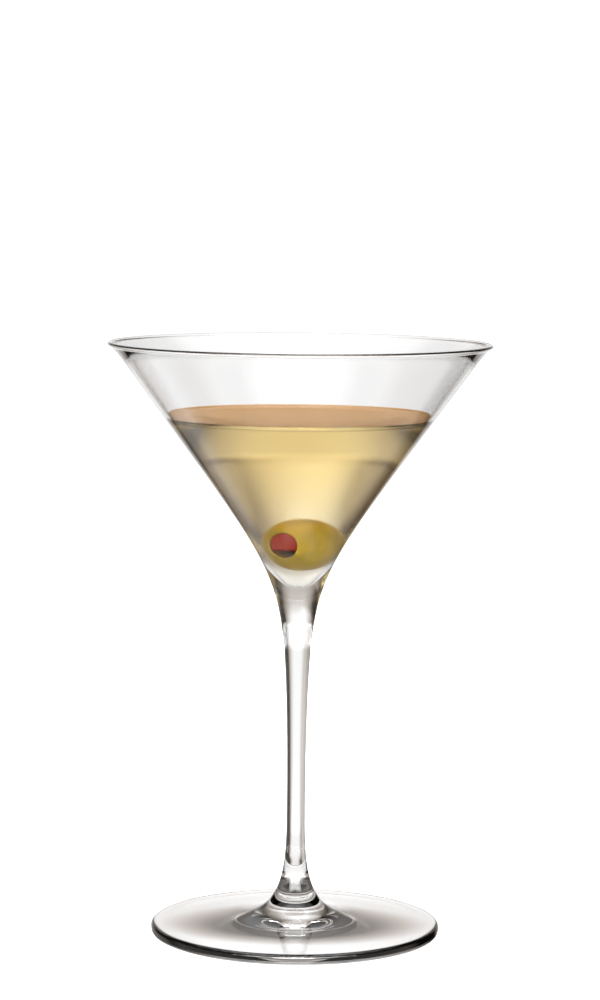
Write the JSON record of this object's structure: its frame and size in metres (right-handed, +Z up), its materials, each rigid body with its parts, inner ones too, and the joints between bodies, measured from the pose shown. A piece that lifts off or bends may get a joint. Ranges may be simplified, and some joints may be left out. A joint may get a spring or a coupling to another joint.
{
  "type": "martini cocktail",
  "caption": "Stemmed cocktail glass with a conical bowl, holding a pale golden drink and a stuffed green olive in the point of the cone.",
  "frame": {"origin": "middle of the foot's underside, on the table", "axes": "+Z up along the stem, +X to the right and +Y away from the viewer"},
  "size_m": [0.116, 0.116, 0.18],
  "materials": {
    "glass": "clear polished glass",
    "drink": "clear pale golden liquid",
    "olive": "smooth wet olive skin",
    "pimento": "wet red pepper"
  },
  "bodies": {
    "root": {"glass": "glass", "drink": "drink", "olive": "olive", "pimento": "pimento"}
  },
  "joints": []
}
